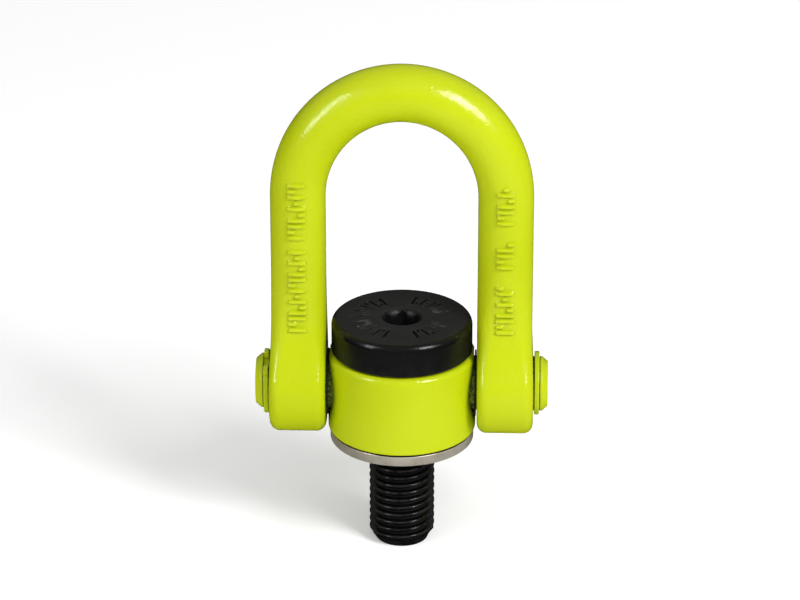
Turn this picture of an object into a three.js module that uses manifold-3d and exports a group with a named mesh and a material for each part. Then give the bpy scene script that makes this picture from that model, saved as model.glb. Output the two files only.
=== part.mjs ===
// Swivel hoist ring with an M24 bolt.
// Units are millimetres. The origin is the centre of the flange's seat face,
// +Z runs up along the bolt and +X runs along the two bail pins.

import * as THREE from 'three';
import { mergeVertices } from 'three/addons/utils/BufferGeometryUtils.js';
import Module from 'manifold-3d';

const wasm = await Module();
wasm.setup();

// ---- driving dimensions ----

const CLEARANCE = 0.3; // between neighbouring pieces, radial and axial

// thread and bolt
const THREAD_DIAMETER = 23.75; // M24 crest as rolled
const THREAD_ROOT_DIAMETER = 20.32;
const THREAD_PITCH = 3;
const THREAD_LENGTH = 41.2; // below the seat face
const TIP_DIAMETER = 18.4;
const SHANK_DIAMETER = 24;
const HEAD_DIAMETER = 50.8;
const HEAD_HEIGHT = 12.35;
const HEAD_FILLET = 2.8;
const SOCKET_ACROSS_FLATS = 12;
const SOCKET_DEPTH = 10;
const SOCKET_MOUTH_DIAMETER = 14.8;
const COUNTERSINK_SLOPE = 0.45; // depth over radius
const BOLT_CHAMFER = 0.6; // at the end of the shank and under the head
const THREAD_TOP = -0.3;

// flanged bushing
const FLANGE_DIAMETER = 52;
const FLANGE_THICKNESS = 3.9;
const SLEEVE_DIAMETER = 33;
const SLEEVE_HEIGHT = 34.65;
const BUSHING_EDGE = 0.4;
const BORE_CHAMFER = 1;

// swivel body
const BODY_DIAMETER = 53.4;
const BODY_BOTTOM = 4.4;
const BODY_TOP = 34.45;
const BODY_FILLET = 2;
const BODY_LOWER_EDGE = 0.8;
const BODY_BORE_CHAMFER = 0.5;

// bail
const PIN_HEIGHT = 21.3;
const PIN_DIAMETER = 19.8;
const EYE_DIAMETER = 36.4;
const EYE_INNER = 27.2; // distance of the eye's inner face from the bolt axis
const EYE_OUTER = 47.5;
const EYE_ROUNDING = 3.6;
const EYE_SHOULDER = 20; // degrees above the pin where the eye's round ends and the neck begins
const NECK_HEIGHT = 40; // above the pin
const NECK_HALF_WIDTH = 5.5; // at its top, inside the bar
const NECK_FULLNESS = 0.72; // how wide the neck's curve bows, as a share of the eye's radius
const BAR_DIAMETER = 19.8;
const LEG_OFFSET = 36.95; // distance of each leg's centreline from the bolt axis
const ARCH_START = 94;
const ARCH_RISE = 40; // from the arch's start to the centreline of the crown
const ARCH_SHARE = 0.6; // of the bar's cross-sections

// bail pins and what they hold
const PIN_END = 52.7;
const PIN_CHAMFER_LENGTH = 2;
const PIN_CHAMFER_DEPTH = 1.75;
const PIN_SHOULDER_DIAMETER = 22;
const PIN_SHOULDER_LENGTH = 3;
const PIN_SHOULDER_EDGE = 0.5;
const GROOVE_DIAMETER = 19;
const CIRCLIP_THICKNESS = 1.75;
const CIRCLIP_CENTRE = 48.75;
const CIRCLIP_BAND = 1.3; // width beside the lugs
const CIRCLIP_EXTRA_BAND = 1.1; // further width opposite the gap
const CIRCLIP_LUG = 2.9; // how far the lugs stand out from the band's inside
const CIRCLIP_HALF_GAP = 14; // degrees
const CIRCLIP_LUG_ARC = 20; // degrees, with the slope down to the band
const CIRCLIP_LUG_FLAT = 0.8; // share of that arc before the slope
const PLIER_HOLE_DIAMETER = 1.4;
const PLIER_HOLE_OUT = 0.56; // share of the lug's height
const PLIER_HOLE_ALONG = 0.45; // share of the lug's arc
const SPOT_FACE = 26; // distance of the body's washer seats from the bolt axis
const WASHER_DIAMETER = 24;
const SPOT_FACE_MARGIN = 0.5; // round the washer

// captive snap ring on the bolt
const FIXED_CLEARANCE = 0.15; // between a ring and the groove it sits in
const CAPTIVE_GROOVE_DIAMETER = 22;
const CAPTIVE_RING_DIAMETER = 27.2;
const CAPTIVE_RING_GAP = 30; // degrees
const CAPTIVE_RING_THICKNESS = 1.5;
const CAPTIVE_RING_BOTTOM = 0.9;
const COUNTERBORE_DIAMETER = 29;
const COUNTERBORE_DEPTH = 3;

// facets around each kind of round surface, and along its curves
const FINE = 40;
const MEDIUM = 32;
const THREAD_FACETS = 24;
const FILLET_STEPS = 4;
const BAR_STEPS = 36;
const BAND_STEPS = 28;

// ---- materials ----

function finish(color, roughness, metalness) {
  return new THREE.MeshStandardMaterial({ color, roughness, metalness });
}

const paint = () => finish(0xb4c20c, 0.3, 0);
const blackOxide = () => finish(0x1b1c1e, 0.45, 0.4);
const plating = () => finish(0xc4c0b6, 0.35, 1);
const darkSteel = () => finish(0x4a4a4c, 0.5, 0.8);

// ---- solids ----

// A closed geometry as a solid. Points on a lathe's axis leave triangles of no area, which are dropped.
function solidOf(geometry) {
  const bare = geometry.clone();
  bare.deleteAttribute('normal');
  bare.deleteAttribute('uv');
  const merged = mergeVertices(bare);
  const corners = merged.index.array;
  const kept = [];
  for (let i = 0; i < corners.length; i += 3) {
    const [a, b, c] = corners.slice(i, i + 3);
    if (a !== b && b !== c && c !== a) kept.push(a, b, c);
  }
  const mesh = new wasm.Mesh({
    numProp: 3,
    vertProperties: new Float32Array(merged.attributes.position.array),
    triVerts: new Uint32Array(kept),
  });
  return new wasm.Manifold(mesh);
}

function geometryOf(solid) {
  const mesh = solid.getMesh();
  const geometry = new THREE.BufferGeometry();
  geometry.setAttribute('position', new THREE.BufferAttribute(mesh.vertProperties, 3));
  geometry.setIndex(new THREE.BufferAttribute(mesh.triVerts, 1));
  geometry.computeVertexNormals();
  return geometry;
}

function piece(name, solid, material) {
  const mesh = new THREE.Mesh(geometryOf(solid), material);
  mesh.name = name;
  return mesh;
}

// A turned shape about +Z from [radius, height] corners, listed upwards on the outside.
function turnedZ(corners, facets) {
  const profile = corners.map(([radius, height]) => new THREE.Vector2(radius, height));
  return solidOf(new THREE.LatheGeometry(profile, facets).rotateX(Math.PI / 2));
}

// A turned shape about +X from [radius, distance] corners, listed outwards along the axis.
function turnedX(corners, facets) {
  const profile = corners.map(([radius, distance]) => new THREE.Vector2(radius, distance));
  return solidOf(new THREE.LatheGeometry(profile, facets).rotateZ(-Math.PI / 2));
}

// Corners of the round at a turned shape's upper outer edge, listed upwards.
function fillet(outerRadius, top, radius) {
  return Array.from({ length: FILLET_STEPS + 1 }, (_, i) => {
    const angle = ((Math.PI / 2) * i) / FILLET_STEPS;
    return [outerRadius - radius * (1 - Math.cos(angle)), top - radius * (1 - Math.sin(angle))];
  });
}

// A plain rod or disc along +X, used for pin holes.
function rodX(radius, from, to, facets) {
  return turnedX([[0, from], [radius, from], [radius, to], [0, to]], facets);
}

// ---- bolt ----

// The thread's profile over one pitch: crest, flank, root, flank.
function threadProfile() {
  const crest = THREAD_DIAMETER / 2;
  const root = THREAD_ROOT_DIAMETER / 2;
  const flank = (crest - root) * Math.tan(Math.PI / 6);
  const crestWidth = THREAD_PITCH / 8;
  return [
    { radius: crest, rise: 0 },
    { radius: crest, rise: crestWidth },
    { radius: root, rise: crestWidth + flank },
    { radius: root, rise: THREAD_PITCH - flank },
  ];
}

// A right-hand thread as rows of points that climb one pitch per turn, closed by a flat tip and a flat top.
function threadGeometry(bottom, top) {
  const profile = threadProfile();
  const rowsPerTurn = profile.length;
  const turns = Math.floor((top - bottom) / THREAD_PITCH) - 1;
  const lastRow = turns * rowsPerTurn;
  const tipRadius = TIP_DIAMETER / 2;
  const chamfer = (height) => tipRadius + (height - bottom);
  const points = [];
  const triangles = [];
  const addPoint = (radius, facet, height) => {
    const angle = (2 * Math.PI * facet) / THREAD_FACETS;
    points.push(radius * Math.cos(angle), radius * Math.sin(angle), height);
    return points.length / 3 - 1;
  };
  const addRing = (radius, height) =>
    Array.from({ length: THREAD_FACETS }, (_, facet) => addPoint(radius, facet, height));
  const tip = addRing(tipRadius, bottom);
  const collar = addRing(THREAD_DIAMETER / 2, top);
  const rows = [];
  for (let row = 0; row <= lastRow; row += 1) {
    const { radius, rise } = profile[row % rowsPerTurn];
    const base = bottom + CLEARANCE + rise + THREAD_PITCH * Math.floor(row / rowsPerTurn);
    rows.push(Array.from({ length: THREAD_FACETS }, (_, facet) => {
      const height = base + (THREAD_PITCH * facet) / THREAD_FACETS;
      return addPoint(Math.min(radius, chamfer(height)), facet, height);
    }));
  }
  const fan = (apex, others) => {
    for (let i = 0; i + 1 < others.length; i += 1) triangles.push(apex, others[i], others[i + 1]);
  };
  const last = THREAD_FACETS - 1;
  for (let facet = 0; facet < last; facet += 1) {
    const columnOf = (side) => [tip[side], ...rows.map((row) => row[side]), collar[side]];
    const left = columnOf(facet);
    const right = columnOf(facet + 1);
    for (let i = 0; i + 1 < left.length; i += 1) {
      triangles.push(left[i], right[i], right[i + 1], left[i], right[i + 1], left[i + 1]);
    }
  }
  // across the seam each row meets the row one turn further on
  for (let row = 0; row + rowsPerTurn < lastRow; row += 1) {
    const [leftLow, leftHigh] = [rows[row][last], rows[row + 1][last]];
    const [rightLow, rightHigh] = [rows[row + rowsPerTurn][0], rows[row + rowsPerTurn + 1][0]];
    triangles.push(leftLow, rightLow, rightHigh, leftLow, rightHigh, leftHigh);
  }
  const firstTurn = rows.slice(0, rowsPerTurn + 1).map((row) => row[0]);
  fan(rows[0][last], [tip[last], tip[0], ...firstTurn]);
  const lastTurn = rows.slice(lastRow - rowsPerTurn).map((row) => row[last]).reverse();
  fan(rows[lastRow][0], [collar[0], collar[last], ...lastTurn]);
  fan(addPoint(0, 0, bottom), [...tip, tip[0]].reverse());
  fan(addPoint(0, 0, top), [...collar, collar[0]]);
  const geometry = new THREE.BufferGeometry();
  geometry.setAttribute('position', new THREE.Float32BufferAttribute(points, 3));
  geometry.setAttribute('normal', new THREE.Float32BufferAttribute(points.length, 3));
  geometry.setAttribute('uv', new THREE.Float32BufferAttribute((points.length / 3) * 2, 2));
  geometry.setIndex(triangles);
  return geometry;
}

function boltSolid() {
  const shank = SHANK_DIAMETER / 2;
  const groove = CAPTIVE_GROOVE_DIAMETER / 2;
  const grooveBottom = CAPTIVE_RING_BOTTOM - FIXED_CLEARANCE;
  const grooveTop = CAPTIVE_RING_BOTTOM + CAPTIVE_RING_THICKNESS + FIXED_CLEARANCE;
  const headRadius = HEAD_DIAMETER / 2;
  const headBottom = SLEEVE_HEIGHT + CLEARANCE;
  const headTop = headBottom + HEAD_HEIGHT;
  const mouth = SOCKET_MOUTH_DIAMETER / 2;
  const socketRadius = SOCKET_ACROSS_FLATS / Math.sqrt(3);
  const turned = turnedZ([
    [0, THREAD_TOP - BOLT_CHAMFER],
    [shank - BOLT_CHAMFER, THREAD_TOP - BOLT_CHAMFER],
    [shank, THREAD_TOP],
    [shank, grooveBottom],
    [groove, grooveBottom],
    [groove, grooveTop],
    [shank, grooveTop],
    [shank, headBottom],
    [headRadius - BOLT_CHAMFER, headBottom],
    [headRadius, headBottom + BOLT_CHAMFER],
    ...fillet(headRadius, headTop, HEAD_FILLET),
    [0, headTop],
  ], FINE);
  const thread = solidOf(threadGeometry(-THREAD_LENGTH, THREAD_TOP));
  const socket = turnedZ([
    [0, headTop - SOCKET_DEPTH],
    [socketRadius, headTop - SOCKET_DEPTH],
    [socketRadius, headTop + 1],
    [0, headTop + 1],
  ], 6);
  const countersink = turnedZ([
    [0, headTop - mouth * COUNTERSINK_SLOPE],
    [mouth + 1, headTop + COUNTERSINK_SLOPE],
    [0, headTop + COUNTERSINK_SLOPE],
  ], MEDIUM);
  return turned.add(thread).subtract(socket).subtract(countersink);
}

// ---- flanged bushing and captive ring ----

function bushingSolid() {
  const bore = SHANK_DIAMETER / 2 + CLEARANCE;
  const counterbore = COUNTERBORE_DIAMETER / 2;
  const flange = FLANGE_DIAMETER / 2;
  const sleeve = SLEEVE_DIAMETER / 2;
  const edge = BUSHING_EDGE;
  return turnedZ([
    [counterbore, COUNTERBORE_DEPTH],
    [counterbore, 0],
    [flange - edge, 0],
    [flange, edge],
    [flange, FLANGE_THICKNESS - edge],
    [flange - edge, FLANGE_THICKNESS],
    [sleeve, FLANGE_THICKNESS],
    [sleeve, SLEEVE_HEIGHT - edge],
    [sleeve - edge, SLEEVE_HEIGHT],
    [bore + BORE_CHAMFER, SLEEVE_HEIGHT],
    [bore, SLEEVE_HEIGHT - BORE_CHAMFER],
    [bore, COUNTERBORE_DEPTH],
    [counterbore, COUNTERBORE_DEPTH],
  ], FINE);
}

// A flat open ring: an arc of the given radii that leaves a gap, with plain square ends.
function openRing(innerRadius, outerRadius, gapDegrees, thickness) {
  const half = THREE.MathUtils.degToRad(gapDegrees / 2);
  const outline = new THREE.Shape();
  outline.absarc(0, 0, outerRadius, half, 2 * Math.PI - half, false);
  outline.absarc(0, 0, innerRadius, 2 * Math.PI - half, half, true);
  const options = { depth: thickness, bevelEnabled: false, curveSegments: 18 };
  return new THREE.ExtrudeGeometry(outline, options);
}

function captiveRingSolid() {
  const inner = CAPTIVE_GROOVE_DIAMETER / 2 + CLEARANCE;
  const ring = openRing(inner, CAPTIVE_RING_DIAMETER / 2, CAPTIVE_RING_GAP, CAPTIVE_RING_THICKNESS);
  return solidOf(ring.translate(0, 0, CAPTIVE_RING_BOTTOM));
}

// ---- swivel body ----

// The shouldered hole that one pin comes through, seen along +X from the bolt axis.
function pinHole() {
  const shoulderEnd = SLEEVE_DIAMETER / 2 + 2 * CLEARANCE + PIN_SHOULDER_LENGTH + CLEARANCE;
  const shoulder = rodX(PIN_SHOULDER_DIAMETER / 2 + CLEARANCE, 0, shoulderEnd, MEDIUM);
  const hole = rodX(PIN_DIAMETER / 2 + CLEARANCE, 0, BODY_DIAMETER, MEDIUM);
  const spotFace = rodX(WASHER_DIAMETER / 2 + SPOT_FACE_MARGIN, SPOT_FACE, BODY_DIAMETER, MEDIUM);
  return hole.add(shoulder).add(spotFace).translate([0, 0, PIN_HEIGHT]);
}

function bodySolid() {
  const bore = SLEEVE_DIAMETER / 2 + CLEARANCE;
  const outer = BODY_DIAMETER / 2;
  const drum = turnedZ([
    [bore, BODY_BOTTOM + BODY_BORE_CHAMFER],
    [bore + BODY_BORE_CHAMFER, BODY_BOTTOM],
    [outer - BODY_LOWER_EDGE, BODY_BOTTOM],
    [outer, BODY_BOTTOM + BODY_LOWER_EDGE],
    ...fillet(outer, BODY_TOP, BODY_FILLET),
    [bore + BODY_BORE_CHAMFER, BODY_TOP],
    [bore, BODY_TOP - BODY_BORE_CHAMFER],
    [bore, BODY_BOTTOM + BODY_BORE_CHAMFER],
  ], FINE);
  const hole = pinHole();
  return drum.subtract(hole).subtract(hole.rotate([0, 0, 180]));
}

// ---- bail ----

// The bar's centreline: up the left leg, over the half-elliptical arch and down the right leg.
class BailCurve extends THREE.Curve {
  getPoint(t, target = new THREE.Vector3()) {
    const legShare = (1 - ARCH_SHARE) / 2;
    if (t < legShare) {
      const height = THREE.MathUtils.lerp(PIN_HEIGHT, ARCH_START, t / legShare);
      return target.set(-LEG_OFFSET, 0, height);
    }
    if (t > 1 - legShare) {
      const height = THREE.MathUtils.lerp(PIN_HEIGHT, ARCH_START, (1 - t) / legShare);
      return target.set(LEG_OFFSET, 0, height);
    }
    const angle = Math.PI * (1 - (t - legShare) / ARCH_SHARE);
    const height = ARCH_START + ARCH_RISE * Math.sin(angle);
    return target.set(LEG_OFFSET * Math.cos(angle), 0, height);
  }
}

function barSolid() {
  const section = new THREE.Shape().absarc(0, 0, BAR_DIAMETER / 2, 0, 2 * Math.PI, false);
  const options = { steps: BAR_STEPS, extrudePath: new BailCurve(), curveSegments: 10 };
  return solidOf(new THREE.ExtrudeGeometry(section, options));
}

// One eye with its neck, as a thick plate with rounded edges; the neck narrows until the bar swallows it.
function eyeSolid() {
  const radius = EYE_DIAMETER / 2;
  const bow = radius * NECK_FULLNESS;
  const shoulder = THREE.MathUtils.degToRad(EYE_SHOULDER);
  const outline = new THREE.Shape();
  outline.absarc(0, 0, radius, Math.PI - shoulder, 2 * Math.PI + shoulder, false);
  outline.quadraticCurveTo(bow, radius, NECK_HALF_WIDTH, NECK_HEIGHT);
  outline.lineTo(-NECK_HALF_WIDTH, NECK_HEIGHT);
  const roundStart = [-radius * Math.cos(shoulder), radius * Math.sin(shoulder)];
  outline.quadraticCurveTo(-bow, radius, ...roundStart);
  const plate = new THREE.ExtrudeGeometry(outline, {
    depth: EYE_OUTER - EYE_INNER - 2 * EYE_ROUNDING,
    bevelThickness: EYE_ROUNDING,
    bevelSize: EYE_ROUNDING,
    bevelOffset: -EYE_ROUNDING,
    bevelSegments: 2,
    curveSegments: 12,
  });
  // the outline was drawn across and up; turn it to stand in the plane square to the pin
  plate.rotateX(Math.PI / 2).rotateZ(Math.PI / 2);
  plate.translate(EYE_INNER + EYE_ROUNDING, 0, PIN_HEIGHT);
  return solidOf(plate);
}

// The bar ends at the pins, where it is cut flush with the eyes' inner faces.
function bailSolid() {
  const eye = eyeSolid();
  const boreRadius = PIN_DIAMETER / 2 + CLEARANCE;
  const bore = rodX(boreRadius, EYE_INNER - 1, EYE_OUTER + 1, MEDIUM).translate([0, 0, PIN_HEIGHT]);
  const block = new THREE.BoxGeometry(2 * EYE_INNER, EYE_DIAMETER, 2 * EYE_DIAMETER);
  const betweenEyes = solidOf(block.translate(0, 0, PIN_HEIGHT));
  return barSolid()
    .subtract(betweenEyes)
    .add(eye)
    .add(eye.rotate([0, 0, 180]))
    .subtract(bore)
    .subtract(bore.rotate([0, 0, 180]));
}

// ---- pins, circlips and washers, each drawn for the right side ----

function pinSolid() {
  const start = SLEEVE_DIAMETER / 2 + 2 * CLEARANCE;
  const stem = PIN_DIAMETER / 2;
  const shoulder = PIN_SHOULDER_DIAMETER / 2;
  const groove = GROOVE_DIAMETER / 2;
  const halfGroove = CIRCLIP_THICKNESS / 2 + FIXED_CLEARANCE;
  return turnedX([
    [0, start],
    [shoulder - PIN_SHOULDER_EDGE, start],
    [shoulder, start + PIN_SHOULDER_EDGE],
    [shoulder, start + PIN_SHOULDER_LENGTH],
    [stem, start + PIN_SHOULDER_LENGTH],
    [stem, CIRCLIP_CENTRE - halfGroove],
    [groove, CIRCLIP_CENTRE - halfGroove],
    [groove, CIRCLIP_CENTRE + halfGroove],
    [stem, CIRCLIP_CENTRE + halfGroove],
    [stem, PIN_END - PIN_CHAMFER_LENGTH],
    [stem - PIN_CHAMFER_DEPTH, PIN_END],
    [0, PIN_END],
  ], MEDIUM);
}

// An external circlip in the XY plane: a band that narrows towards two lugs with plier holes.
function circlipOutline() {
  const inner = GROOVE_DIAMETER / 2 + FIXED_CLEARANCE;
  const lugRadius = inner + CIRCLIP_LUG;
  const gap = THREE.MathUtils.degToRad(CIRCLIP_HALF_GAP);
  const lug = THREE.MathUtils.degToRad(CIRCLIP_LUG_ARC);
  const onCircle = (radius, angle) => [radius * Math.cos(angle), radius * Math.sin(angle)];
  const bandAt = (angle) => inner + CIRCLIP_BAND + (CIRCLIP_EXTRA_BAND * (1 - Math.cos(angle))) / 2;
  const bandStart = gap + lug;
  const flatEnd = gap + lug * CIRCLIP_LUG_FLAT;
  const outline = new THREE.Shape();
  outline.moveTo(...onCircle(inner, gap));
  outline.lineTo(...onCircle(lugRadius, gap));
  outline.lineTo(...onCircle(lugRadius, flatEnd));
  for (let i = 0; i <= BAND_STEPS; i += 1) {
    const angle = THREE.MathUtils.lerp(bandStart, 2 * Math.PI - bandStart, i / BAND_STEPS);
    outline.lineTo(...onCircle(bandAt(angle), angle));
  }
  outline.lineTo(...onCircle(lugRadius, -flatEnd));
  outline.lineTo(...onCircle(lugRadius, -gap));
  outline.absarc(0, 0, inner, -gap, gap - 2 * Math.PI, true);
  const holeOut = inner + CIRCLIP_LUG * PLIER_HOLE_OUT;
  const holeAngle = gap + lug * PLIER_HOLE_ALONG;
  [1, -1].forEach((side) => {
    const [x, y] = onCircle(holeOut, side * holeAngle);
    outline.holes.push(new THREE.Path().absarc(x, y, PLIER_HOLE_DIAMETER / 2, 0, 2 * Math.PI, true));
  });
  return outline;
}

function circlipSolid() {
  const options = { depth: CIRCLIP_THICKNESS, bevelEnabled: false, curveSegments: 8 };
  const ring = new THREE.ExtrudeGeometry(circlipOutline(), options);
  return solidOf(ring.translate(0, 0, -CIRCLIP_THICKNESS / 2).rotateY(Math.PI / 2));
}

function washerSolid() {
  const bore = PIN_DIAMETER / 2 + CLEARANCE;
  const rim = WASHER_DIAMETER / 2;
  const near = SPOT_FACE + CLEARANCE;
  const far = EYE_INNER - CLEARANCE;
  return turnedX([[bore, near], [rim, near], [rim, far], [bore, far], [bore, near]], MEDIUM);
}

// ---- assembly ----

// One side's pin with its circlip and washer. gapAngle turns the circlip's gap about the pin.
function pinSet(side, turn, gapAngle) {
  const group = new THREE.Group();
  group.position.z = PIN_HEIGHT;
  group.rotation.z = turn;
  const circlip = piece(`${side}_circlip`, circlipSolid(), paint());
  circlip.position.x = CIRCLIP_CENTRE;
  circlip.rotation.x = gapAngle;
  group.add(piece(`${side}_pin`, pinSolid(), paint()));
  group.add(circlip);
  group.add(piece(`${side}_spacer_washer`, washerSolid(), darkSteel()));
  return group;
}

const hoistRing = new THREE.Group();
hoistRing.add(piece('flanged_bushing', bushingSolid(), plating()));
hoistRing.add(piece('bolt', boltSolid(), blackOxide()));
hoistRing.add(piece('captive_ring', captiveRingSolid(), darkSteel()));
hoistRing.add(piece('swivel_body', bodySolid(), paint()));
hoistRing.add(piece('bail', bailSolid(), paint()));
hoistRing.add(pinSet('right', 0, THREE.MathUtils.degToRad(40)));
hoistRing.add(pinSet('left', Math.PI, THREE.MathUtils.degToRad(155)));

export default hoistRing;
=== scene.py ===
"""Looks of a swivel hoist ring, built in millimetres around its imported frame."""

import math

import bpy
import numpy as np
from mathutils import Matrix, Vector


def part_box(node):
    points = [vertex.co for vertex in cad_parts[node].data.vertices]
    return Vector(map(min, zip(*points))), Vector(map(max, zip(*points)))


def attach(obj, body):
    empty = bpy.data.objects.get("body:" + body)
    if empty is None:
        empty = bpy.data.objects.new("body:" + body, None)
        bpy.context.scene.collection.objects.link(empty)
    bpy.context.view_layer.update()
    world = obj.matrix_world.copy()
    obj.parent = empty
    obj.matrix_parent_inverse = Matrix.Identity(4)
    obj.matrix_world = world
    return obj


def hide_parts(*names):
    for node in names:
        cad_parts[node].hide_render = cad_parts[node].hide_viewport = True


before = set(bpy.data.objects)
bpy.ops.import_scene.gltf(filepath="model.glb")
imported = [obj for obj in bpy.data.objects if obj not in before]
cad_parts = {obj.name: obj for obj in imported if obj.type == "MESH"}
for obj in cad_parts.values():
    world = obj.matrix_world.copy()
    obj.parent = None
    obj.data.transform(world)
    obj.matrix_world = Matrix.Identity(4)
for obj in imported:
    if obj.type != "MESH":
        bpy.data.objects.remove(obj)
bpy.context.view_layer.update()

MM = 0.001


def corners_mm(node):
    """A CAD node's lowest and highest corner, in millimetres."""
    low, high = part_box(node)
    return np.array(low) / MM, np.array(high) / MM


# ---- sizes read from the frame, in millimetres ----

BAIL_LOW, BAIL_HIGH = corners_mm("bail")
BODY_LOW, BODY_HIGH = corners_mm("swivel_body")
BOLT_LOW, BOLT_HIGH = corners_mm("bolt")
BUSHING_HIGH = corners_mm("flanged_bushing")[1]
PIN_LOW, PIN_HIGH = corners_mm("right_pin")
CIRCLIP_LOW, CIRCLIP_HIGH = corners_mm("right_circlip")
WASHER_LOW, WASHER_HIGH = corners_mm("right_spacer_washer")
RING_LOW, RING_HIGH = corners_mm("captive_ring")

PIN_HEIGHT = (PIN_LOW[2] + PIN_HIGH[2]) / 2
EYE_RADIUS = PIN_HEIGHT - BAIL_LOW[2]
EYE_OUTER = BAIL_HIGH[0]

# ---- sizes the frame doesn't hold, in millimetres ----

RUNNING_GAP = 0.3  # between pieces that turn against each other
FIT = 0.15  # between a ring and the groove it sits in

# bail, with heights above the pin's axis unless they say otherwise
EYE_INNER = 27.2
EYE_ROUNDING = 3.6
NECK_START = 8.3
NECK_LENGTH = 25.0
NECK_BLEND = 3.0
ROUND_START = 6.0  # where the flat eye starts to turn into the round leg
ROUND_END = 48.0
LEG_OFFSET = 36.95
LEG_RADIUS = 9.9
CROWN_RADIUS = 10.25
ARCH_START = 94.0  # above the seat face
EYE_BORE_EDGE = 0.8

# raised marks on the legs, with heights above the seat face
MARKS_BOTTOM = 42.0
MARKS_TOP = 106.0
LEFT_MARK_GROUPS = [(46.5, 76.5), (82, 102)]
RIGHT_MARK_GROUPS = [(46.5, 63.5), (71.5, 80.5), (88.5, 101.5)]
MARK_PITCH = 2.15
MARK_HALF_WIDTH = 0.65
MARK_RISE = 1.0
MARK_EDGE = 0.35
MARK_FOOT = 0.4
MARK_REACH = 2.5  # how far from the leg's surface the marks change anything

# swivel body
BODY_TOP_EDGE = 2.0
BODY_BOTTOM_EDGE = 0.9
BODY_HOLE_EDGE = 0.5
SHOULDER_SEAT_EDGE = 0.3
WASHER_SEAT_EDGE = 0.4
WASHER_SEAT_MARGIN = 0.5

# flanged bushing and captive ring
SLEEVE_RADIUS = 16.5
FLANGE_GAP = 0.5  # between the flange and the body
COUNTERBORE_RADIUS = 14.5
COUNTERBORE_DEPTH = 3.0
CAPTIVE_HALF_GAP = math.radians(15)
CAPTIVE_GAP_ROUND = 0.3
CAPTIVE_EDGE = 0.2

# bolt
SHANK_RADIUS = 12.0
SHANK_ROOT_ROUND = 0.8  # under the head
THREAD_PITCH = 3.0
THREAD_START = 0.29  # pitches past a crest at the tip
THREAD_TOP = -1.0
CREST_RADIUS = 11.875
CREST_ROUND = 0.35
ROOT_RADIUS = 10.16
ROOT_ROUND = 0.6
RUN_OUT = 3.0  # how far below its top the thread starts to fade
TIP_RADIUS = 9.5
TIP_EDGE = 0.4
TIP_CHAMFER = 0.75  # how fast the tip widens with height
RING_GROOVE_DEPTH = 1.0
HEAD_BOTTOM = BUSHING_HIGH[2] + RUNNING_GAP
HEAD_TOP = BOLT_HIGH[2]
HEAD_RADIUS = BOLT_HIGH[0]
HEAD_LOWER_EDGE = 0.6
HEAD_ROUND = 2.8
SOCKET_APOTHEM = 6.0
SOCKET_DEPTH = 10.0
SOCKET_MOUTH = 7.4
COUNTERSINK_SLOPE = 1.3

# engraved marks on the head
ENGRAVED_ARCS = [(18, 74), (120, 178), (196, 250), (290, 340)]  # degrees from +X
ENGRAVING_PITCH = 7  # degrees
ENGRAVING_RADIUS = 15.0
ENGRAVING_OFFSET = 2.1  # of a short stroke from that radius
ENGRAVING_HALF_WIDTH = 0.55
ENGRAVING_DEPTH = 0.8
ENGRAVED_BAND = 11.4, 18.6  # inner and outer radius
ENGRAVED_ROWS = 36

# pins and circlips
PIN_RADIUS = 9.9
PIN_SHOULDER_LENGTH = 3.0
PIN_GROOVE_RADIUS = 9.5
PIN_CHAMFER_LENGTH = 2.0
PIN_CHAMFER_DEPTH = 1.75
PIN_END_EDGE = 0.5
PIN_GROOVE_EDGE = 0.12
CIRCLIP_INNER = PIN_GROOVE_RADIUS + FIT
CIRCLIP_BAND = 1.3
CIRCLIP_EXTRA_BAND = 1.1  # opposite the gap
CIRCLIP_LUG = 2.9
CIRCLIP_LUG_ROUND = 0.9
CIRCLIP_LUG_FOOT = 1.2
CIRCLIP_GAP_ROUND = 0.5
CIRCLIP_BORE_ROUND = 0.2
CIRCLIP_EDGE = 0.3
CIRCLIP_HALF_GAP = math.radians(14)
CIRCLIP_LUG_ARC = math.radians(16)
FAR_FROM_GAP = 2  # radians; beyond this angle a circlip is a plain band
PLIER_HOLE_RADIUS = 0.7
PLIER_HOLE_PLACE = 0.56  # share of the lug's height and of its arc
GAP_TURN = {"right": math.radians(40), "left": math.radians(155)}  # from straight down

SMALL_EDGE = 0.15  # rounding of turned edges that have none of their own
FAR_AWAY = 9.0  # stands for no surface nearby

# columns round the turned pieces, and rows in one pitch of the thread
SHANK_COLUMNS = 144
HEAD_COLUMNS = 432
PIN_COLUMNS = 144
BUSHING_COLUMNS = 216
ROWS_PER_PITCH = 16

# size of the quads of the surfaces made from fields
BAIL_STEP = 0.62, 0.62, 0.5
BODY_STEP = 0.42
CAPTIVE_RING_STEP = 0.2
CIRCLIP_STEP = 0.19

# where a look starts and ends
# painted shade and rough spray on the body beside the eyes
SHADE_AND_OVERSPRAY_RADIUS = 9.5, 13.5  # round a pin's axis, on the body
SHADE_AND_OVERSPRAY_SIDE = 20, 22  # from the middle plane between the eyes
RIM_HEIGHT = 3.2  # of the head's satin rim
RIM_WIDTH = 4

# ---- colours, as linear red, green, blue and alpha ----

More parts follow.
